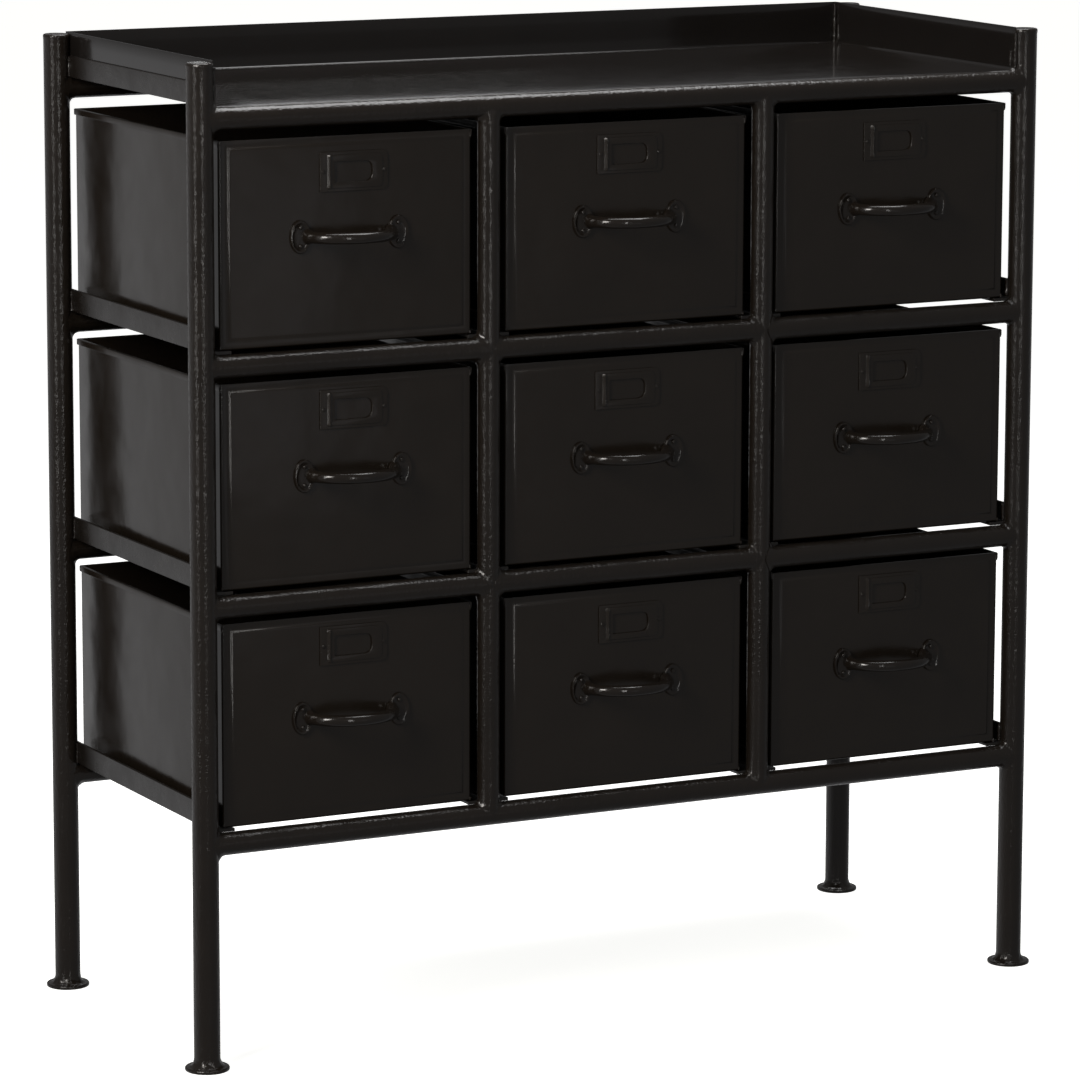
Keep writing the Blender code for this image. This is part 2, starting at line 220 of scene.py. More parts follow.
def corner_post(centre_x, centre_y, height):
    """The whole post is one skin: cap, cap weld, tube, foot weld and foot."""
    form = bmesh.new()
    angles = circle(72)
    weld = FOOT_WELD_HEIGHT - FOOT_THICKNESS
    # From the cap down: radius, height, and how lumpy the enamel is in millimetres.
    profile = [
        (0.0035, height - 0.0004, 0),
        (0.0075, height - 0.0004, 0),
        (0.0100, height - 0.0003, 0.15),
        (0.0112, height - 0.0001, 0.35),
        (0.0121, height - 0.0005, 0.35),
        (0.0127, height - 0.0013, 0.35),
        (0.0130, height - 0.0025, 0.35),
        (0.0129, height - 0.0038, 0.30),
        (POST_RADIUS, height - 0.0055, 0.10),
    ]
    for step in range(1, 41):
        along = step / 41
        z = (height - 0.0055) * (1 - along) + (FOOT_WELD_HEIGHT + 0.001) * along
        profile.append((POST_RADIUS, z, 0))
    for step in range(9):
        turn = step / 8 * math.pi / 2
        out = 0.0052 * (1 - math.cos(turn))
        swell = 0.0011 * math.sin(2 * turn)
        profile.append((POST_RADIUS + out, FOOT_WELD_HEIGHT - weld * math.sin(turn), swell * 1000))
    profile += [
        (0.0195, FOOT_THICKNESS, 0.10),
        (0.0207, FOOT_THICKNESS - 0.0001, 0),
        (0.0212, FOOT_THICKNESS - 0.0005, 0),
        (FOOT_RADIUS, FOOT_THICKNESS - 0.0012, 0),
        (FOOT_RADIUS, 0.0010, 0),
        (0.0212, 0.0003, 0),
        (0.0206, 0.0, 0),
        (DRAIN_RADIUS, 0.0, 0),
        (DRAIN_RADIUS, FOOT_THICKNESS, 0),
    ]
    rings = []
    for radius, z, swell in profile:
        ring = []
        for angle in angles:
            x = centre_x + radius * math.cos(angle)
            y = centre_y + radius * math.sin(angle)
            swollen = radius + 0.001 * swell * (0.45 + 0.9 * lumpy((x, y, z), 0.0045))
            swollen = min(swollen, FOOT_RADIUS)
            ring.append(
                (centre_x + swollen * math.cos(angle), centre_y + swollen * math.sin(angle), z)
            )
        rings.append(ring)
    skin(form, rings)
    return form


for end in ("front", "rear"):
    for side in ("left", "right"):
        node = f"post_{end}_{side}"
        low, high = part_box(node)
        centre_x = (low[0] + high[0]) / 2
        centre_y = (low[1] + high[1]) / 2
        form = corner_post(centre_x, centre_y, high[2])
        new_piece(f"corner_{node}", form, POURED_ENAMEL, "frame", [node])

# ---------------------------------------------------------------------------
# Rails: 22 mm round tube, cut to the shape of the posts and uprights and welded
# all round. The weld was ground and then filled with enamel, so that one tube
# flows into the other in a hollow, slightly lumpy curve.
# ---------------------------------------------------------------------------

TUBE_RADIUS = 0.011
WELD_REACH = 0.0062
WELD_STEPS = 7
STATION_PITCH = 0.03

front_low, front_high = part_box("post_front_left")
rear_low, rear_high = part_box("post_rear_left")
FRONT_Y = (front_low[1] + front_high[1]) / 2
BACK_Y = (rear_low[1] + rear_high[1]) / 2
POST_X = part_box("post_front_right")[0][0] + FOOT_RADIUS


def weld_rings(host_radius, reach, angles, seed):
    """Rings from inside the host tube, over the weld, to the clean tube beyond it.

    The host's axis is Z and passes through the start; the tube runs along +X.
    """
    radius = TUBE_RADIUS
    widest = 0.985 * host_radius
    inner = [
        (0.25 * host_radius, 0.8 * radius * math.cos(t), 0.8 * radius * math.sin(t)) for t in angles
    ]
    rings = [inner]
    for step in range(WELD_STEPS + 1):
        s = step / WELD_STEPS
        ring = []
        for t in angles:
            across, along = math.cos(t), math.sin(t)
            width = reach * (1 + 0.45 * lumpy((across + seed, along, seed * 0.7), 0.55))
            y_host = across * min(radius + width, widest)
            z_host = along * (radius + width)
            on_host = (math.sqrt(host_radius**2 - y_host**2) - 0.0003, y_host, z_host)
            y_tube, z_tube = across * radius, along * radius
            corner = (math.sqrt(max(host_radius**2 - y_tube**2, 0)), y_tube, z_tube)
            on_tube = (max(corner[0], 0.8 * host_radius) + width, y_tube, z_tube)
            point = [
                (1 - s) ** 2 * a + 2 * s * (1 - s) * b + s**2 * c
                for a, b, c in zip(on_host, corner, on_tube)
            ]
            bulge = 0.0006 * math.sin(math.pi * s)
            bulge *= 0.6 + 1.6 * lumpy((across * 2 + seed, along * 2, s * 1.5), 0.6)
            point[0] += bulge * 0.7
            point[1] += bulge * 0.7 * across
            point[2] += bulge * 0.7 * along
            ring.append(tuple(point))
        rings.append(ring)
    return rings


def welded_tube(length, host_radius, matrix, seed):
    """A tube between the axes of its two hosts, placed by a matrix."""
    form = bmesh.new()
    angles = circle(56)
    rings = weld_rings(host_radius, WELD_REACH, angles, seed)
    start = rings[-1]
    far = weld_rings(host_radius, WELD_REACH, angles, seed + 5.3)
    far = [[(length - x, y, z) for x, y, z in ring] for ring in reversed(far)]
    finish = far[0]
    count = max(2, int(length / STATION_PITCH))
    for i in range(1, count):
        k = i / count
        rings.append(
            [tuple((1 - k) * a + k * b for a, b in zip(p, q)) for p, q in zip(start, finish)]
        )
    skin(form, rings + far)
    form.transform(matrix)
    return form


def along_x(x, y, z):
    return Matrix.Translation((x, y, z))


def node_middle(node, axis):
    low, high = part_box(node)
    return (low[axis] + high[axis]) / 2


UPRIGHT_X = [node_middle(f"upright_{side}", 0) for side in ("left", "right")]
RAIL_LEVELS = {
    place: node_middle(f"back_rail_{place}", 2) for place in ("bottom", "lower", "upper", "top")
}

for number, place in enumerate(("bottom", "top")):
    start = along_x(-POST_X, FRONT_Y, RAIL_LEVELS[place])
    form = welded_tube(2 * POST_X, POST_RADIUS, start, 1.7 + number)
    node = f"front_rail_{place}"
    new_piece(f"rail_front_{place}", form, POURED_ENAMEL, "frame", [node])

stations = [-POST_X, *UPRIGHT_X, POST_X]
hosts = [POST_RADIUS, TUBE_RADIUS, TUBE_RADIUS, POST_RADIUS]
for number, place in enumerate(("lower", "upper")):
    for bay, word in enumerate(("left", "centre", "right")):
        length = stations[bay + 1] - stations[bay]
        host = (hosts[bay] + hosts[bay + 1]) / 2
        start = along_x(stations[bay], FRONT_Y, RAIL_LEVELS[place])
        form = welded_tube(length, host, start, 4 * number + bay)
        node = f"front_rail_{place}_{word}"
        new_piece(f"rail_{node}", form, POURED_ENAMEL, "frame", [node])

for number, (place, level) in enumerate(RAIL_LEVELS.items()):
    start = along_x(-POST_X, BACK_Y, level)
    form = welded_tube(2 * POST_X, POST_RADIUS, start, 11.1 + number)
    node = f"back_rail_{place}"
    new_piece(f"rail_back_{place}", form, POURED_ENAMEL, "frame", [node])

# ---------------------------------------------------------------------------
# Uprights: the same tube between the top and the bottom rail, welded to both.
# ---------------------------------------------------------------------------

for number, side in enumerate(("left", "right")):
    length = RAIL_LEVELS["top"] - RAIL_LEVELS["bottom"]
    stand = Matrix.Translation((UPRIGHT_X[number], FRONT_Y, RAIL_LEVELS["bottom"]))
    stand @= Matrix.Rotation(-math.pi / 2, 4, "Y")
    form = welded_tube(length, TUBE_RADIUS, stand, 21.4 + number)
    node = f"upright_{side}"
    new_piece(f"upright_tube_{side}", form, POURED_ENAMEL, "frame", [node])

# ---------------------------------------------------------------------------
# Side angles, flat bars and tees: hot rolled steel angle of about 22 mm with a
# round root, which carries the drawers. Two angles back to back make a tee. A
# flat bar of the same height stands beside the tray.
# ---------------------------------------------------------------------------

BAR_THICKNESS = 0.003
EDGE_ROUND = 0.0006
ROOT_ROUND = 0.0025
END_DRESSING = 0.0004

# Hand-brushed enamel on flat bar: duller and smoother than on the tubes, with faint
# streaks.
BRUSHED_ENAMEL = black_enamel(
    "brushed_black_enamel_on_flat_bar",
    "#171411",
    "#221d19",
    (0.22, 0.36),
    sag=(0.006, 0.00016, 0.6),
    peel=(0.0020, 0.00003, 1.0),
    wave=(0.050, 0.0007, 1.0),
)


def rounded_path(corners, steps=4):
    """A closed outline from corners given as (x, z, radius)."""
    points = []
    count = len(corners)
    for i, (x, z, radius) in enumerate(corners):
        here = Vector((x, z))
        back = (Vector(corners[i - 1][:2]) - here).normalized()
        ahead = (Vector(corners[(i + 1) % count][:2]) - here).normalized()
        first, last = here + back * radius, here + ahead * radius
        for step in range(steps + 1):
            s = step / steps
            points.append((1 - s) ** 2 * first + 2 * s * (1 - s) * here + s**2 * last)
    return points


def rolled_bar(outline, start, end):
    """The outline in X and Z drawn along Y, with its ends dressed."""
    form = bmesh.new()
    middle = sum(outline, Vector((0, 0))) / len(outline)
    full_start, full_end = start + END_DRESSING, end - END_DRESSING
    rings = []
    for y, shrink in ((start, END_DRESSING), (full_start, 0), (full_end, 0), (end, END_DRESSING)):
        ring = []
        for point in outline:
            inward = (middle - point).normalized() * shrink
            ring.append((point.x + inward.x, y, point.y + inward.y))
        rings.append(ring)
    steps = max(2, int((end - start) / STATION_PITCH))
    body = []
    for i in range(1, steps):
        y = full_start + (end - start - 2 * END_DRESSING) * i / steps
        body.append([(p.x, y, p.y) for p in outline])
    skin(form, rings[:2] + body + rings[2:])
    return form


for side, turn in (("left", -1), ("right", 1)):
    for place in ("bottom", "lower", "upper"):
        node = f"side_angle_{side}_{place}"
        low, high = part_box(node)
        inner = min(abs(low[0]), abs(high[0]))
        outer = max(abs(low[0]), abs(high[0]))
        ledge = low[2] + BAR_THICKNESS
        leg = outer - BAR_THICKNESS
        corners = [
            (inner, low[2], EDGE_ROUND),
            (inner, ledge, EDGE_ROUND),
            (leg, ledge, ROOT_ROUND),
            (leg, high[2], EDGE_ROUND),
            (outer, high[2], EDGE_ROUND),
            (outer, low[2], EDGE_ROUND),
        ]
        outline = rounded_path([(turn * x, z, r) for x, z, r in corners])
        form = rolled_bar(outline, FRONT_Y, BACK_Y)
        new_piece(f"angle_{side}_{place}", form, BRUSHED_ENAMEL, "frame", [node])
    node = f"side_bar_{side}_top"
    low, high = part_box(node)
    corners = [(low[0], low[2]), (low[0], high[2]), (high[0], high[2]), (high[0], low[2])]
    outline = rounded_path([(x, z, EDGE_ROUND) for x, z in corners])
    form = rolled_bar(outline, FRONT_Y, BACK_Y)
    new_piece(f"flat_bar_{side}", form, BRUSHED_ENAMEL, "frame", [node])
    for place in ("bottom", "lower", "upper"):
        node = f"runner_{side}_{place}"
        low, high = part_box(node)
        middle = (low[0] + high[0]) / 2
        ledge = low[2] + BAR_THICKNESS
        corners = [
            (low[0], low[2], EDGE_ROUND),
            (low[0], ledge, EDGE_ROUND),
            (middle - BAR_THICKNESS, ledge, ROOT_ROUND),
            (middle - BAR_THICKNESS, high[2], EDGE_ROUND),
            (middle, high[2] - 0.0009, 0.0003),
            (middle + BAR_THICKNESS, high[2], EDGE_ROUND),
            (middle + BAR_THICKNESS, ledge, ROOT_ROUND),
            (high[0], ledge, EDGE_ROUND),
            (high[0], low[2], EDGE_ROUND),
        ]
        form = rolled_bar(rounded_path(corners), FRONT_Y, high[1])
        new_piece(f"tee_{side}_{place}", form, BRUSHED_ENAMEL, "frame", [node])

# ---------------------------------------------------------------------------
# Tray: one 1.2 mm steel sheet folded up on three sides, with welded corners.
# Its front edge is dressed down over the top rail.
# ---------------------------------------------------------------------------

SHEET = 0.0012
FOLD_ROUND = 0.0028

# Enamel on the tray: smoother and glossier than on the drawers, so that the floor
# mirrors what is behind the chest at a low angle.
TRAY_ENAMEL = black_enamel(
    "gloss_black_enamel_on_tray",
    "#171412",
    "#1e1b19",
    (0.10, 0.15),
    sag=(0.020, 0.00001, 1.5),
    peel=(0.0022, 0.000004, 1.0),
    wave=(0.110, 0.00012, 1.0),
)

tray_low, tray_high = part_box("tray_top")

# The floor crowns a little behind its open front edge, most of all at the left. How
# far is a guess.
CROWN_HEIGHT = 0.0007
CROWN_DEPTH = 0.120
CROWN_END = 0.05
CROWN_FADE = 0.030
# Brings the highest value of s * (1 - s) ** 2, which is at a third, to one.
CROWN_PEAK = 27 / 4


def crown(x, y):
    """How far the floor stands proud at a place; highest a third of the way in."""
    inwards = (y - tray_low[1]) / CROWN_DEPTH
    if not 0 < inwards < 1:
        return 0
    leftness = min(1, max(0, (CROWN_END - x) / (CROWN_END - tray_low[0])))
    clear_of_fold = min(1, max(0, (x - tray_low[0] - FOLD_ROUND) / CROWN_FADE))
    return CROWN_HEIGHT * CROWN_PEAK * inwards * (1 - inwards) ** 2 * leftness * clear_of_fold


def folded_tray():
    """The outer skin of the tray as a grid of strips, before it gets its thickness."""
    left, right = tray_low[0], tray_high[0]
    base, top = tray_low[2], tray_high[2]
    back = tray_high[1]
    front = tray_low[1]
    across = [(left, top), (left, top - 0.012)]
    for step in range(5):
        turn = step / 4 * math.pi / 2
        x = left + FOLD_ROUND * (1 - math.cos(turn))
        z = base + FOLD_ROUND * (1 - math.sin(turn))
        across.append((x, z))
    spans = 24
    for i in range(1, spans):
        across.append((left + FOLD_ROUND + (right - left - 2 * FOLD_ROUND) * i / spans, base))
    across += [(-x, z) for x, z in reversed(across[:7])]
    depth = [
        (front, -0.0011),
        (front + 0.0004, -0.0005),
        (front + 0.0014, -0.0001),
        (front + 0.003, 0),
    ]
    for i in range(1, 13):
        depth.append((front + 0.003 + (CROWN_DEPTH - 0.003) * i / 12, 0))
    for i in range(1, 8):
        depth.append((front + CROWN_DEPTH + (back - FOLD_ROUND - front - CROWN_DEPTH) * i / 8, 0))
    form = bmesh.new()
    rows = []
    for y, drop in depth:
        row = []
        for x, z in across:
            lift = drop + crown(x, y) if z < base + 0.0001 else 0
            row.append(form.verts.new((x, y, z + lift)))
        rows.append(row)
    for step in range(5):
        turn = step / 4 * math.pi / 2
        y = back - FOLD_ROUND * (1 - math.sin(turn))
        lift = FOLD_ROUND * (1 - math.cos(turn))
        rows.append([form.verts.new((x, y, max(z, base + lift))) for x, z in across])
    for z_row in (base + 0.015, top - 0.012, top):
        rows.append([form.verts.new((x, back, max(z, z_row))) for x, z in across])
    for first, second in zip(rows, rows[1:]):
        for i in range(len(first) - 1):
            form.faces.new((first[i], second[i], second[i + 1], first[i + 1]))
    bmesh.ops.remove_doubles(form, verts=form.verts, dist=0.00002)
    return form


def baked(form, modifiers):
    """The mesh of a bmesh after some modifiers, given as (kind, settings)."""
    mesh = bpy.data.meshes.new("unfinished")
    form.to_mesh(mesh)
    form.free()
    carrier = bpy.data.objects.new("unfinished", mesh)
    bpy.context.scene.collection.objects.link(carrier)
    for kind, settings in modifiers:
        step = carrier.modifiers.new(kind.lower(), kind)
        for key, value in settings.items():
            setattr(step, key, value)
    bpy.context.view_layer.update()
    evaluated = carrier.evaluated_get(bpy.context.evaluated_depsgraph_get())
    result = bpy.data.meshes.new_from_object(evaluated)
    bpy.data.objects.remove(carrier, do_unlink=True)
    return result


SHEET_WALL = ("SOLIDIFY", {"thickness": SHEET, "offset": 1, "use_even_offset": True})
SOFT_RIM = ("BEVEL", {"width": 0.00035, "segments": 2, "limit_method": "ANGLE", "angle_limit": 1.0})

mesh = baked(folded_tray(), [SHEET_WALL, SOFT_RIM])
finished("tray_sheet", mesh, TRAY_ENAMEL, "frame", ["tray_top"])

# ---------------------------------------------------------------------------
# Weld beads: the flat steel is joined to the tubes by short runs of weld, which
# the enamel has rounded off. The back corners of the tray are welded inside.
# ---------------------------------------------------------------------------


def weld_bead_tree():
    """Sweeps a bead of changing width along every path."""
    tree = bpy.data.node_groups.new("weld_beads_along_paths", "GeometryNodeTree")
    face = tree.interface
    face.new_socket("Paths", in_out="INPUT", socket_type="NodeSocketGeometry")
    for label, value in (("Bead radius", 0.0018), ("Ripple pitch", 0.0016), ("Lumps", 1.6)):
        socket = face.new_socket(label, in_out="INPUT", socket_type="NodeSocketFloat")
        socket.default_value = value
    face.new_socket("Finish", in_out="INPUT", socket_type="NodeSocketMaterial")
    face.new_socket("Beads", in_out="OUTPUT", socket_type="NodeSocketGeometry")
    given = add_node(tree, "NodeGroupInput").outputs
    points = add_node(
        tree,
        "GeometryNodeResampleCurve",
        {"mode": "LENGTH"},
        {"Curve": given["Paths"], "Length": given["Ripple pitch"]},
    )
    lumps = add_node(tree, "ShaderNodeTexNoise", {"Scale": 260.0, "Detail": 1.0})
    centred = add_node(
        tree, "ShaderNodeMath", {"operation": "SUBTRACT", 1: 0.5}, {0: lumps.outputs["Fac"]}
    )
    factor = add_node(
        tree,
        "ShaderNodeMath",
        {"operation": "MULTIPLY_ADD", 2: 1.0},
        {0: centred.outputs[0], 1: given["Lumps"]},
    )
    width = add_node(
        tree,
        "ShaderNodeMath",
        {"operation": "MULTIPLY"},
        {0: factor.outputs[0], 1: given["Bead radius"]},
    )
    section = add_node(tree, "GeometryNodeCurvePrimitiveCircle", {"Resolution": 10, "Radius": 1.0})
    swept = add_node(
        tree,
        "GeometryNodeCurveToMesh",
        {"Fill Caps": True},
        {
            "Curve": points.outputs["Curve"],
            "Profile Curve": section.outputs["Curve"],
            "Scale": width.outputs[0],
        },
    )
    real = add_node(tree, "GeometryNodeRealizeInstances", {}, {"Geometry": swept.outputs["Mesh"]})
    coated = add_node(
        tree,
        "GeometryNodeSetMaterial",
        {},
        {"Geometry": real.outputs["Geometry"], "Material": given["Finish"]},
    )
    add_node(tree, "NodeGroupOutput", {}, {"Beads": coated.outputs["Geometry"]})
    return tree


def run_tree(source, tree, inputs):
    """The plain mesh that a tree makes of some mesh or curve data."""
    carrier = bpy.data.objects.new("unfinished", source)
    bpy.context.scene.collection.objects.link(carrier)
    step = carrier.modifiers.new("made", "NODES")
    step.node_group = tree
    for socket in tree.interface.items_tree:
        if socket.in_out == "INPUT" and socket.name in inputs:
            step[socket.identifier] = inputs[socket.name]
    bpy.context.view_layer.update()
    evaluated = carrier.evaluated_get(bpy.context.evaluated_depsgraph_get())
    result = bpy.data.meshes.new_from_object(evaluated)
    bpy.data.objects.remove(carrier, do_unlink=True)
    return result


def paths_curve(paths):
    curve = bpy.data.curves.new("bead_paths", "CURVE")
    curve.dimensions = "3D"
    for path in paths:
        line = curve.splines.new("POLY")
        line.points.add(len(path) - 1)
        for point, place in zip(line.points, path):
            point.co = (*place, 1)
    return curve


WELD_BEADS = weld_bead_tree()

bead_paths = []
for turn in (-1, 1):
    for end_y, way in ((FRONT_Y, 1), (BACK_Y, -1)):
        for place, level in RAIL_LEVELS.items():
            node = f"side_angle_right_{place}" if place != "top" else "side_bar_right_top"
            low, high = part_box(node)
            outer = turn * high[0]
            reach = math.sqrt(POST_RADIUS**2 - (POST_X - high[0]) ** 2)
            y = end_y + way * (reach + 0.0006)
            bead_paths.append([(outer, y, low[2] + 0.001), (outer, y, high[2] - 0.001)])
            inner = turn * (POST_X - POST_RADIUS - 0.0002)
            y = end_y + way * 0.0042
            bead_paths.append([(inner, y, low[2] + 0.005), (inner, y, high[2] - 0.001)])
for x in UPRIGHT_X:
    for place in ("bottom", "lower", "upper"):
        low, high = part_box(f"runner_left_{place}")
        y = FRONT_Y + TUBE_RADIUS
        for turn in (-1, 1):
            side = x + turn * (BAR_THICKNESS + 0.0003)
            bead_paths.append([(side, y, low[2] + 0.004), (side, y, high[2] - 0.001)])
for turn in (-1, 1):
    corner_x = turn * (tray_high[0] - SHEET)
    corner_y = tray_high[1] - SHEET
    floor = tray_low[2] + SHEET
    bead_paths.append([(corner_x, corner_y, floor), (corner_x, corner_y, tray_high[2] - 0.002)])
    post_side = turn * (POST_X - POST_RADIUS)
    bead_paths.append(
        [
            (post_side, FRONT_Y - 0.0040, floor + 0.002),
            (post_side, FRONT_Y - 0.0040, tray_high[2] - 0.006),
        ]
    )
beads = run_tree(paths_curve(bead_paths), WELD_BEADS, {"Finish": POURED_ENAMEL})
finished("weld_beads", beads, POURED_ENAMEL, "frame", [])

# ---------------------------------------------------------------------------
# Drawer boxes: one folded 1.2 mm sheet each, open on top. A field is pressed
# forward inside the border of the front, and the top edge is folded over in a hem.
# ---------------------------------------------------------------------------

FRONT_FOLD = 0.0024
HEM_DEPTH = 0.0062
FRONT_HEM_SETBACK = 0.0016
FIELD_RISE = 0.0015
# Steps from the border of the front to its field: width, and forward rise. The rises
# add up to FIELD_RISE.
FIELD_STEPS = [
    (0.0044, 0.0),
    (0.0008, -0.0002),
    (0.0008, 0.0001),
    (0.0014, 0.0010),
    (0.0010, 0.0005),
    (0.0012, 0.0001),
]

# Satin enamel on sheet: a little softer and browner than on the tubes, with the slow waves of
# sheet steel that was folded by hand.
DRAWER_ENAMEL = black_enamel(
    "satin_black_enamel_on_sheet",
    "#1c1712",
    "#251f19",
    (0.15, 0.24),
    sag=(0.010, 0.00008, 1.8),
    peel=(0.0022, 0.00002, 1.0),
    wave=(0.085, 0.0020, 1.0),
)


def drawer_sheet(width, depth, height):
    """The outer skin of a drawer, with its front border in the plane y = 0."""
    form = bmesh.new()
    bmesh.ops.create_cube(form, size=1)
    bmesh.ops.scale(form, vec=(width, depth, height), verts=form.verts)
    bmesh.ops.translate(form, vec=(0, depth / 2, height / 2), verts=form.verts)
    lid = [f for f in form.faces if f.normal.z > 0.5]
    bmesh.ops.delete(form, geom=lid, context="FACES")
    folds = [e for e in form.edges if len(e.link_faces) == 2]
    bmesh.ops.bevel(form, geom=folds, offset=FRONT_FOLD, segments=4, profile=0.5, affect="EDGES")
    fronts = [f for f in form.faces if f.normal.y < -0.99]
    field = max(fronts, key=lambda face: face.calc_area())
    for step, rise in FIELD_STEPS:
        bmesh.ops.inset_region(
            form, faces=[field], thickness=step, depth=rise, use_boundary=True, use_even_offset=True
        )
    return form


INWARD_WALL = ("SOLIDIFY", {"thickness": SHEET, "offset": -1, "use_even_offset": True})


def hem(width, depth, height):
    """The folded edge: round the left side, the back and the right side, and in front."""
    form = bmesh.new()
    section = [
        (-0.0013, height - 0.0045),
        (-0.0014, height - 0.0008),
        (-0.0009, height - 0.0002),
        (0.0, height),
        (0.0005, height - 0.0002),
        (0.0009, height - 0.0009),
        (0.0009, height - HEM_DEPTH + 0.0004),
        (0.0005, height - HEM_DEPTH),
        (-0.0006, height - HEM_DEPTH),
    ]
    half = width / 2
    corners = [
        ((-half, 0.0006), (-1, 0)),
        ((-half, depth), (-1, 1)),
        ((half, depth), (1, 1)),
        ((half, 0.0006), (1, 0)),
    ]
    rings = []
    for (x, y), (way_x, way_y) in corners:
        rings.append([(x + way_x * out, y + way_y * out, z) for out, z in section])
    skin(form, rings)
    end = half - FRONT_HEM_SETBACK
    skin(form, [[(x, FRONT_HEM_SETBACK - out, z) for out, z in section] for x in (-end, end)])
    return form


def set_in_place(mesh, place):
    mesh.transform(Matrix.Translation(place))
    return mesh


# ---------------------------------------------------------------------------
# Handles: an 11 mm round bar bent to an arc, whose ends stand on the inner part of
# two upright oval feet with raised rims. Two round-headed rivets hold each foot.
# ---------------------------------------------------------------------------

HANDLE_SPAN = 0.102
BOW_SPAN = 0.086
HANDLE_PROJECTION = 0.03275
HANDLE_ROOT = 0.0012
BAR_RADIUS = 0.0055
FOOT_HALF_WIDTH = 0.0105
FOOT_HALF_HEIGHT = 0.0160
RIVET_OFFSET = 0.0088

# Gloss enamel on the handles and rivets: a little shinier than on the tubes, with wider
# and shallower runs.
FITTING_ENAMEL = black_enamel(
    "gloss_black_enamel_on_fittings",
    "#191511",
    "#221c17",
    (0.12, 0.22),
    sag=(0.0040, 0.00016, 1.4),
    peel=(0.0012, 0.00002, 1.0),
    wave=(0.020, 0.0002, 1.0),
)


def bow_handle():
    """Two feet and the bar; their backs lie in the plane y = 0."""
    form = bmesh.new()
    angles = circle(28)
    count = 44
    rings = []
    centres = []
    for i in range(count + 1):
        turn = math.pi * i / count
        out = HANDLE_ROOT + (HANDLE_PROJECTION - HANDLE_ROOT) * math.sin(turn)
        centres.append(Vector((-math.cos(turn) * BOW_SPAN / 2, -out, 0)))
    for i, centre in enumerate(centres):
        ahead = centres[min(i + 1, count)] - centres[max(i - 1, 0)]
        sideways = Vector((ahead.y, -ahead.x, 0)).normalized()
        near_foot = math.exp(-((-centre.y - HANDLE_ROOT) / 0.0036))
        radius = BAR_RADIUS * (1 + 0.12 * near_foot)
        tall = BAR_RADIUS * (1 + 0.45 * near_foot)
        ring = []
        for t in angles:
            point = centre + sideways * (radius * math.cos(t)) + Vector((0, 0, tall * math.sin(t)))
            ring.append(tuple(point))
        rings.append(ring)
    skin(form, rings)
    # Foot profile from the rim to the middle: share of the oval, and height.
    profile = [
        (0.97, 0.0),
        (1.0, 0.0008),
        (1.0, 0.0018),
        (0.95, 0.0028),
        (0.88, 0.0030),
        (0.80, 0.0024),
        (0.70, 0.0017),
        (0.50, 0.0016),
        (0.25, 0.0017),
    ]
    for side in (-1, 1):
        rings = []
        for share, height in profile:
            ring = []
            for t in circle(40):
                x = side * HANDLE_SPAN / 2 + FOOT_HALF_WIDTH * share * math.cos(t)
                z = FOOT_HALF_HEIGHT * share * math.sin(t)
                ring.append((x, -height, z))
            rings.append(ring)
        skin(form, rings)
    return form


# ---------------------------------------------------------------------------
# Label holders: a pressed steel frame. A flat flange on the left carries one
# rivet, a raised fold stands beside it, and the frame round the window runs into
# two round corners on the right.
# ---------------------------------------------------------------------------

LABEL_WIDTH = 0.071
LABEL_HEIGHT = 0.038
FLANGE = 0.0074
FOLD_HALF_WIDTH = 0.0023
FOLD_RISE = 0.0024
PLATE_EDGE = 0.00045
PLATE_CORNER_STEPS = 6


def flat_outline(form, corners, hole, low, high):
    """A plate between two depths, with rounded corners, from an outline and its hole."""
    curve = bpy.data.curves.new("plate", "CURVE")
    curve.dimensions = "2D"
    curve.fill_mode = "BOTH"
    curve.extrude = (high - low) / 2 - PLATE_EDGE
    curve.bevel_depth = PLATE_EDGE
    curve.bevel_resolution = 2
    curve.offset = -PLATE_EDGE
    curve.resolution_u = 1
    for outline in (corners, hole):
        points = rounded_path(outline, PLATE_CORNER_STEPS)
        line = curve.splines.new("POLY")
        line.points.add(len(points) - 1)
        for point, place in zip(line.points, points):
            point.co = (place.x, place.y, 0, 1)
        line.use_cyclic_u = True
    carrier = bpy.data.objects.new("plate", curve)
    bpy.context.scene.collection.objects.link(carrier)
    bpy.context.view_layer.update()
    evaluated = carrier.evaluated_get(bpy.context.evaluated_depsgraph_get())
    plate = bpy.data.meshes.new_from_object(evaluated)
    bpy.data.objects.remove(carrier, do_unlink=True)
    stand = Matrix.Translation((0, -(low + high) / 2, 0)) @ Matrix.Rotation(math.pi / 2, 4, "X")
    plate.transform(stand)
    form.from_mesh(plate)
    bmesh.ops.remove_doubles(form, verts=form.verts, dist=0.00001)


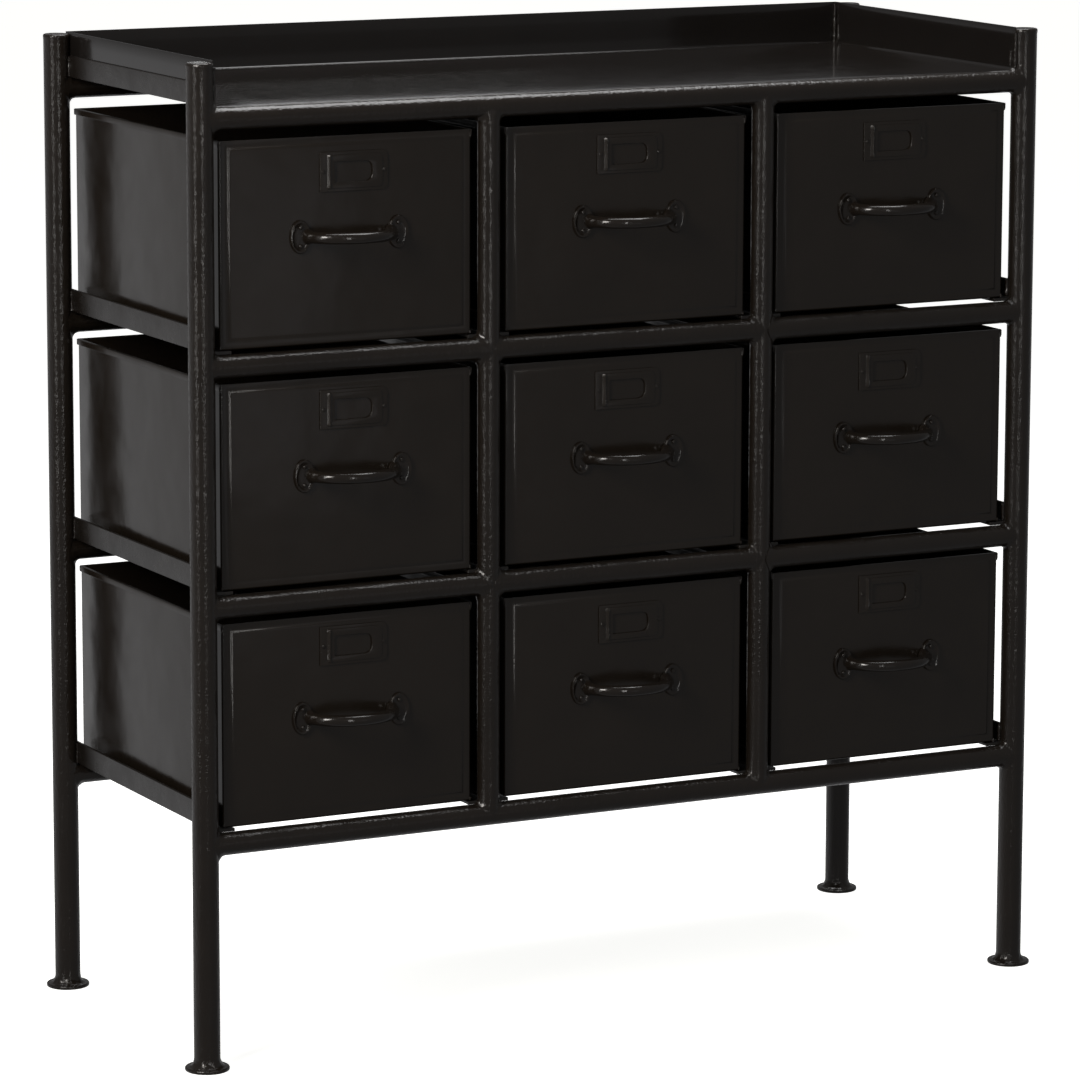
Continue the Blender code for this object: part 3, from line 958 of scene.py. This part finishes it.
def label_holder():
    """Its back lies in the plane y = 0, and its middle is at the origin."""
    form = bmesh.new()
    w, h = LABEL_WIDTH / 2, LABEL_HEIGHT / 2
    window = [
        (-0.0205, -0.0103, 0.0010),
        (0.0190, -0.0103, 0.0085),
        (0.0190, 0.0094, 0.0085),
        (-0.0205, 0.0094, 0.0010),
    ]
    plate = [(-w, -h, 0.0012), (w, -h, 0.0065), (w, h, 0.0075), (-w, h, 0.0012)]
    flat_outline(form, plate, window, 0.0, 0.0011)
    left = -w + FLANGE + 0.001
    raised = [
        (left, -h + 0.0030, 0.0010),
        (w - 0.0060, -h + 0.0030, 0.0060),
        (w - 0.0060, h - 0.0030, 0.0065),
        (left, h - 0.0030, 0.0010),
    ]
    flat_outline(form, raised, window, 0.0006, 0.0019)
    # The fold from its foot to its head: height, and how full it is there. The press
    # left it a little fuller just inside both ends.
    fold = [
        (-0.0162, 0.5),
        (-0.0157, 0.95),
        (-0.0145, 1.12),
        (-0.0125, 1.0),
        (0.0, 0.95),
        (0.0125, 1.0),
        (0.0145, 1.12),
        (0.0157, 0.95),
        (0.0162, 0.5),
    ]
    # Its section, as shares of its half width and of its rise: a flat flank that faces
    # left and a steeper one that faces right.
    section = [
        (-1.0, -0.4),
        (-1.0, 0.0),
        (-0.95, 0.07),
        (-0.88, 0.14),
        (-0.10, 0.90),
        (-0.02, 0.96),
        (0.10, 1.0),
        (0.22, 0.95),
        (0.75, 0.2),
        (0.80, 0.0),
        (0.80, -0.4),
    ]
    fold_x = -w + FLANGE + FOLD_HALF_WIDTH
    rings = []
    for z, full in fold:
        ring = []
        for across, out in section:
            x = fold_x + FOLD_HALF_WIDTH * full * across
            ring.append((x, -0.0010 - FOLD_RISE * full * out, z))
        rings.append(ring)
    skin(form, rings)
    return form


# ---------------------------------------------------------------------------
# Rivets: round steel heads hammered flat against the fittings, four on each
# handle and two on each label holder.
# ---------------------------------------------------------------------------

# How far the rivets stand out on a foot and on a label holder, and how far in from the
# holder's ends.
FOOT_RIVET_OUT = 0.0022
LABEL_RIVET_OUT = 0.0011
LABEL_RIVET_INSET = 0.0036


def rivet_tree():
    """Puts a low domed head on every point."""
    tree = bpy.data.node_groups.new("rivet_heads_on_points", "GeometryNodeTree")
    face = tree.interface
    face.new_socket("Places", in_out="INPUT", socket_type="NodeSocketGeometry")
    for label, value in (("Head radius", 0.0021), ("Head height", 0.0012)):
        socket = face.new_socket(label, in_out="INPUT", socket_type="NodeSocketFloat")
        socket.default_value = value
    face.new_socket("Finish", in_out="INPUT", socket_type="NodeSocketMaterial")
    face.new_socket("Rivets", in_out="OUTPUT", socket_type="NodeSocketGeometry")
    given = add_node(tree, "NodeGroupInput").outputs
    ball = add_node(tree, "GeometryNodeMeshUVSphere", {"Segments": 14, "Rings": 10, "Radius": 1.0})
    form = add_node(
        tree,
        "ShaderNodeCombineXYZ",
        {},
        {"X": given["Head radius"], "Y": given["Head height"], "Z": given["Head radius"]},
    )
    sized = add_node(
        tree,
        "GeometryNodeTransform",
        {},
        {"Geometry": ball.outputs["Mesh"], "Scale": form.outputs["Vector"]},
    )
    turn = add_node(
        tree,
        "FunctionNodeRandomValue",
        {"data_type": "FLOAT_VECTOR", 0: (-0.12, -0.5, -0.12), 1: (0.12, 0.5, 0.12), "Seed": 7},
    )
    heads = add_node(
        tree,
        "GeometryNodeInstanceOnPoints",
        {},
        {
            "Points": given["Places"],
            "Instance": sized.outputs["Geometry"],
            "Rotation": turn.outputs[0],
        },
    )
    real = add_node(
        tree, "GeometryNodeRealizeInstances", {}, {"Geometry": heads.outputs["Instances"]}
    )
    coated = add_node(
        tree,
        "GeometryNodeSetMaterial",
        {},
        {"Geometry": real.outputs["Geometry"], "Material": given["Finish"]},
    )
    add_node(tree, "NodeGroupOutput", {}, {"Rivets": coated.outputs["Geometry"]})
    return tree


RIVET_HEADS = rivet_tree()


def points_mesh(places):
    mesh = bpy.data.meshes.new("rivet_places")
    mesh.from_pydata(places, [], [])
    return mesh


# ---------------------------------------------------------------------------
# The nine drawers are put together and hung on their own bodies. At the lower
# and upper front corners a spot of weld closes the folded sheet.
# ---------------------------------------------------------------------------

# How far the back of a fitting stands clear of the field.
FITTING_GAP = 0.0003


def centre_of_back(low, high):
    """The middle of the side of a box that faces the drawer."""
    return ((low[0] + high[0]) / 2, high[1], (low[2] + high[2]) / 2)


for name in frame["bodies"]:
    if not name.startswith("drawer_"):
        continue
    low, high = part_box(f"{name}_box")
    handle_low, handle_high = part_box(f"{name}_handle")
    label_low, label_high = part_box(f"{name}_label_holder")
    handle = centre_of_back(handle_low, handle_high)
    label = centre_of_back(label_low, label_high)
    width, height = high[0] - low[0], high[2] - low[2]
    border_y = handle_high[1] + FITTING_GAP + FIELD_RISE
    depth = high[1] - border_y
    middle = (low[0] + high[0]) / 2
    corner = (middle, border_y, low[2])
    box = set_in_place(baked(drawer_sheet(width, depth, height), [INWARD_WALL]), corner)
    form = bmesh.new()
    form.from_mesh(box)
    edge = hem(width, depth, height)
    hem_mesh = bpy.data.meshes.new("hem")
    edge.to_mesh(hem_mesh)
    edge.free()
    form.from_mesh(set_in_place(hem_mesh, corner))
    new_piece(f"{name}_sheet", form, DRAWER_ENAMEL, name, [f"{name}_box"])

    form = bow_handle()
    form.transform(Matrix.Translation(handle))
    new_piece(f"{name}_bow", form, FITTING_ENAMEL, name, [f"{name}_handle"])

    form = label_holder()
    form.transform(Matrix.Translation(label))
    node = f"{name}_label_holder"
    new_piece(f"{name}_card_frame", form, DRAWER_ENAMEL, name, [node])

    rivets = []
    for side in (-1, 1):
        x = handle[0] + side * HANDLE_SPAN / 2
        for up in (-1, 1):
            rivets.append((x, handle[1] - FOOT_RIVET_OUT, handle[2] + up * RIVET_OFFSET))
        x = label[0] + side * (LABEL_WIDTH / 2 - LABEL_RIVET_INSET)
        rivets.append((x, label[1] - LABEL_RIVET_OUT, label[2]))
    heads = run_tree(points_mesh(rivets), RIVET_HEADS, {"Finish": FITTING_ENAMEL})
    finished(f"{name}_rivets", heads, FITTING_ENAMEL, name, [])

    paths = []
    for side in (-1, 1):
        x = middle + side * (width / 2 - 0.0010)
        y = border_y + 0.0006
        for start, end in ((0.0012, 0.0040), (height - 0.0075, height - 0.0025)):
            paths.append([(x, y, low[2] + start), (x, y, low[2] + end)])
    sizes = {"Finish": DRAWER_ENAMEL, "Bead radius": 0.0012, "Ripple pitch": 0.0008, "Lumps": 1.2}
    spots = run_tree(paths_curve(paths), WELD_BEADS, sizes)
    finished(f"{name}_corner_welds", spots, DRAWER_ENAMEL, name, [])

# ---------------------------------------------------------------------------
# Studio: a pale sweep all round that only the camera sees. The enamel mirrors a few
# lamps and the air, which is dim except behind the chest and below the horizon.
# ---------------------------------------------------------------------------

SWEEP_FLAT = 12.0
SWEEP_RISE = 5.0
SWEEP_TOP = 12.0


def level_ring(radius, z, angles):
    """A level circle of points round the origin."""
    return [(radius * math.cos(t), radius * math.sin(t), z) for t in angles]


def studio_sweep():
    form = bmesh.new()
    angles = circle(96)
    rings = [level_ring(radius, 0, angles) for radius in (0.4, 2.0, 5.0, 9.0, SWEEP_FLAT)]
    for step in range(1, 13):
        turn = step / 12 * math.pi / 2
        radius = SWEEP_FLAT + SWEEP_RISE * math.sin(turn)
        rings.append(level_ring(radius, SWEEP_RISE * (1 - math.cos(turn)), angles))
    rings.append(level_ring(SWEEP_FLAT + SWEEP_RISE, SWEEP_TOP, angles))
    loops = [[form.verts.new(point) for point in ring] for ring in rings]
    form.faces.new(loops[0])
    for first, second in zip(loops, loops[1:]):
        for i in range(len(first)):
            j = (i + 1) % len(first)
            form.faces.new((first[i], first[j], second[j], second[i]))
    bmesh.ops.recalc_face_normals(form, faces=form.faces)
    mesh = bpy.data.meshes.new("studio_sweep")
    form.to_mesh(mesh)
    form.free()
    mesh.shade_smooth()
    paper = bpy.data.materials.new("white_paper")
    paper.use_nodes = True
    shader = paper.node_tree.nodes["Principled BSDF"]
    shader.inputs["Base Color"].default_value = linear("#e6e6e4")
    shader.inputs["Roughness"].default_value = 0.9
    shader.inputs["Emission Color"].default_value = linear("#f6f6f4")
    shader.inputs["Emission Strength"].default_value = 0.95
    mesh.materials.append(paper)
    sweep = bpy.data.objects.new("studio_sweep", mesh)
    sweep.visible_glossy = False
    sweep.visible_shadow = False
    sweep.visible_diffuse = False
    bpy.context.scene.collection.objects.link(sweep)


studio_sweep()


def soft_light(name, place, aim, size, power, colour):
    """A rectangular lamp at a place, turned towards its aim; size in metres, power in watts."""
    light = bpy.data.lights.new(name, "AREA")
    light.shape = "RECTANGLE"
    light.size, light.size_y = size
    light.energy = power
    light.color = linear(colour)[:3]
    lamp = bpy.data.objects.new(name, light)
    lamp.location = place
    lamp.visible_camera = False
    lamp.rotation_euler = (Vector(aim) - Vector(place)).to_track_quat("-Z", "Y").to_euler()
    bpy.context.scene.collection.objects.link(lamp)


soft_light("left_box", (-2.4, -1.3, 1.9), (0, 0, 0.6), (0.7, 1.2), 40, "#fffaf4")
soft_light("top_box", (0.2, 0.4, 3.2), (0, 0, 0.6), (2.4, 1.6), 70, "#ffffff")
# Two tall strips draw the fine bright lines down the tubes.
soft_light("left_strip", (-2.8, -1.15, 1.05), (0, -0.1, 0.9), (0.16, 2.0), 6, "#fffdfa")
soft_light("front_strip", (-0.65, -3.2, 1.05), (0, -0.1, 0.9), (0.12, 2.0), 7, "#fffdfa")
# A small card behind shows in the left end of the tray's front edge.
soft_light("back_card", (1.0, 2.6, 1.74), (-0.33, -0.16, 0.93), (0.6, 0.24), 1.0, "#ffffff")
# A faint card in front shows in the upper left of the left-hand drawers.
soft_light("front_card", (0.3, -2.0, 0.5), (-0.45, -0.17, 0.75), (0.4, 0.6), 0.13, "#f4f6ff")

# The brightness of the air: in front, and behind above and below the horizon.
FRONT_AIR = 0.16
BEHIND_ABOVE = 0.15
BEHIND_BELOW = 0.45

air = bpy.data.worlds.new("studio_air")
air.use_nodes = True
bpy.context.scene.world = air
tree = air.node_tree
way = add_node(tree, "ShaderNodeTexCoord").outputs["Generated"]
apart = add_node(tree, "ShaderNodeSeparateXYZ", {}, {"Vector": way})
behind = add_node(
    tree,
    "ShaderNodeMapRange",
    {"From Min": -0.25, "From Max": 0.65, "To Min": 0.0, "To Max": 1.0},
    {"Value": apart.outputs["Y"]},
)
above = add_node(
    tree,
    "ShaderNodeMapRange",
    {"From Min": -0.10, "From Max": 0.10, "To Min": BEHIND_BELOW, "To Max": BEHIND_ABOVE},
    {"Value": apart.outputs["Z"]},
)
brightness = add_node(
    tree,
    "ShaderNodeMix",
    {"data_type": "FLOAT", "A": FRONT_AIR},
    {"Factor": behind.outputs["Result"], "B": above.outputs["Result"]},
)
tree.links.new(brightness.outputs[0], tree.nodes["Background"].inputs["Strength"])
tree.nodes["Background"].inputs["Color"].default_value = linear("#fdfdff")

# ---------------------------------------------------------------------------
# Camera: well to the left of the front and a little above the tray, with a long lens.
# ---------------------------------------------------------------------------

YAW = 0.47853
PITCH = -0.17101
ROLL = 0.0032
CAMERA_PLACE = (-2.4492, FRONT_Y - 4.5805, 1.4122)
FOCAL_LENGTH = 179.76
SHIFT = (-0.01785, -0.0349)

ahead = Vector((math.sin(YAW) * math.cos(PITCH), math.cos(YAW) * math.cos(PITCH), math.sin(PITCH)))
right = Vector((math.cos(YAW), -math.sin(YAW), 0))
up = right.cross(ahead)
rolled_right = math.cos(ROLL) * right + math.sin(ROLL) * up
rolled_up = math.cos(ROLL) * up - math.sin(ROLL) * right
stand = Matrix((rolled_right, rolled_up, -ahead)).transposed().to_4x4()
stand.translation = CAMERA_PLACE
lens = bpy.data.cameras.new("camera")
lens.sensor_width = 36
lens.lens = FOCAL_LENGTH
lens.shift_x, lens.shift_y = SHIFT
camera = bpy.data.objects.new("camera", lens)
camera.matrix_world = stand
bpy.context.scene.collection.objects.link(camera)
bpy.context.scene.camera = camera
bpy.context.scene.view_settings.view_transform = "Standard"

bpy.context.view_layer.update()
